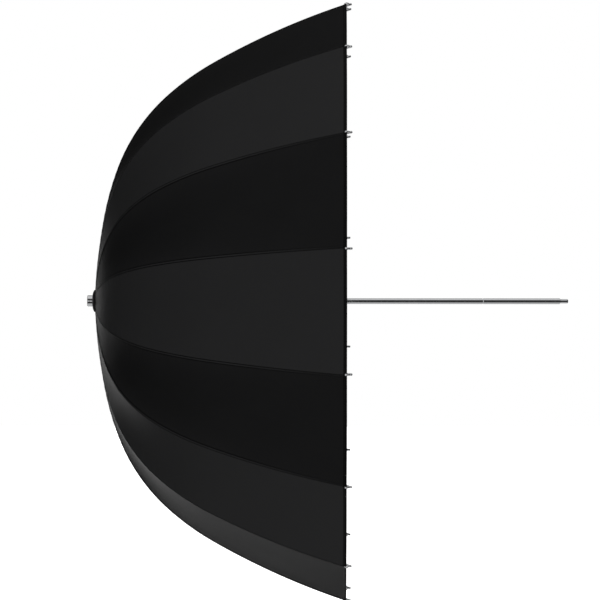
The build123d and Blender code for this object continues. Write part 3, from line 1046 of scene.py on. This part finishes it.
def lay_stitches(name, lines):
    """Stitches along lines of points, as one plain mesh."""
    points, edges = [], []
    for line in lines:
        edges += [(len(points) + step, len(points) + step + 1) for step in range(len(line) - 1)]
        points += line
    guide = bpy.data.meshes.new(name)
    guide.from_pydata(points, edges, [])
    holder = bpy.data.objects.new(name, guide)
    bpy.context.scene.collection.objects.link(holder)
    layer = holder.modifiers.new("lockstitch", "NODES")
    layer.node_group = stitch_tree
    for label, value in stitch_sizes.items():
        layer[stitch_inputs[label]] = value
    evaluated = holder.evaluated_get(bpy.context.evaluated_depsgraph_get())
    laid = bpy.data.meshes.new_from_object(evaluated)
    holder.modifiers.clear()
    holder.data = laid
    return holder


def stitch_line(low, high, seam_side):
    """The middle of a rib's felled seam, from one length to another."""
    line = []
    for step in range(61):
        along = low + (high - low) * step / 60
        share = seam_profile[2][0] * seam_shrink(along)
        line.append(cloth_point(along, seam_side * share, -seam_rise - thread_proud))
    return line


hem_row = [cloth_point(hem_stitch_at, -1 + step / 20, -hem_rise - thread_proud) for step in range(41)]
for number in range(rib_count):
    seam_side = 1 if number % 2 == 0 else -1
    for band, low, high, keep, half in cloth_bands:
        lines = [stitch_line(max(low, first_stitch), high - seam_end_gap, seam_side)]
        if band == "skirt":
            lines.append(hem_row)
        lines = [in_rib_plane(number, line) for line in lines]
        stitches = lay_stitches(f"{band}_stitches_{number + 1:02d}", lines)
        finish_piece(stitches, f"{half}_{number + 1:02d}", "canopy_cloth")
        fold_towards_rib(stitches)


# ---- The stage ------------------------------------------------------------------------------
# A plain pale floor in a pale room. Soft-edged bright patches of its walls, floor and ceiling
# light the umbrella, and show as the sheen on its cloth and the bands on its chrome.

floor_reach = 12.0
floor_height = -0.95
paper = Finish("pale_paper", Specular_IOR_Level=0.1, Roughness=0.9, Emission_Strength=1.0)
paper.surface.inputs["Emission Color"].default_value = (1, 1, 1, 1)
fibre = paper.stretched_noise((3.0, 3.0, 3.0))
paper.feed(Base_Color=paper.tint(fibre, (0.93, 0.93, 0.93, 1), (0.96, 0.96, 0.96, 1)))
floor_corners = ((-1, -1), (1, -1), (1, 1), (-1, 1))
floor_points = [(x * floor_reach, y * floor_reach, floor_height) for x, y in floor_corners]
paper_floor = mesh_object("paper_floor", floor_points, [(0, 1, 2, 3)], [paper.material])
paper_floor.visible_glossy = False
paper_floor.visible_diffuse = False
paper_floor.visible_shadow = False

surround = bpy.data.worlds.new("surround")
surround.use_nodes = True
room = Nodes(surround.node_tree)
heading = room.node("ShaderNodeTexCoord", output="Generated")


def lit_wall(direction, edge, full, level):
    """A soft-edged bright patch of the room, round a direction."""
    towards = Vector(direction).normalized()
    near = room.node(
        "ShaderNodeVectorMath", {"operation": "DOT_PRODUCT"}, {0: heading, 1: towards}, output="Value"
    )
    return room.node(
        "ShaderNodeMapRange",
        {"interpolation_type": "SMOOTHSTEP"},
        {"Value": near, "From Min": edge, "From Max": full, "To Min": 0.0, "To Max": level},
    )


side_strip = lit_wall((-1, 0, 0), 0.40, 0.55, 0.7) - lit_wall((-1, 0, 0), 0.70, 0.85, 0.7)
glow = side_strip * lit_wall((0, -1, 0), 0.1, 0.5, 1.0) + 0.03
for patch in (
    ((0, 0, 1), 0.60, 0.93, 0.60),
    ((0, 0, -1), 0.60, 0.93, 0.47),
    ((-0.240, -0.971, 0.0), 0.970, 0.990, 1.25),
    ((-0.18, 0.95, -0.26), 0.935, 0.992, 1.45),
    ((-0.25, 0.60, -0.76), 0.87, 0.97, 0.08),
):
    glow = glow + lit_wall(*patch)
fill = lit_wall((0.25, -0.85, 0.25), -1.0, 1.0, 0.60) + lit_wall((1, 0, 0), 0.0, 1.0, 0.62) + 0.12
diffuse_light = room.node("ShaderNodeLightPath", output="Is Diffuse Ray")
looked_at = room.node("ShaderNodeLightPath", output="Is Camera Ray")
glow = (glow + diffuse_light * fill) * (1 - looked_at) + looked_at
background = surround.node_tree.nodes["Background"]
room.join(background.inputs["Color"], (1, 1, 1, 1))
room.join(background.inputs["Strength"], glow)
bpy.context.scene.world = surround
bpy.context.scene.view_settings.view_transform = "Standard"

view_target = Vector((canopy_top + 0.2902, 0.0, 0.0016))
view_distance = 5.65
view_turn = radians(0.53)
view_rise = radians(1.86)
view_roll = radians(0.02)
lens = bpy.data.cameras.new("view")
lens.sensor_width = 36.0
lens.lens = 239.4
camera = bpy.data.objects.new("view", lens)
towards = Vector((sin(view_turn) * cos(view_rise), -cos(view_turn) * cos(view_rise), sin(view_rise)))
aim = (-towards).to_track_quat("-Z", "Y").to_matrix() @ Matrix.Rotation(view_roll, 3, "Z")
camera.location = view_target + view_distance * towards
camera.rotation_euler = aim.to_euler()
bpy.context.scene.collection.objects.link(camera)
bpy.context.scene.camera = camera
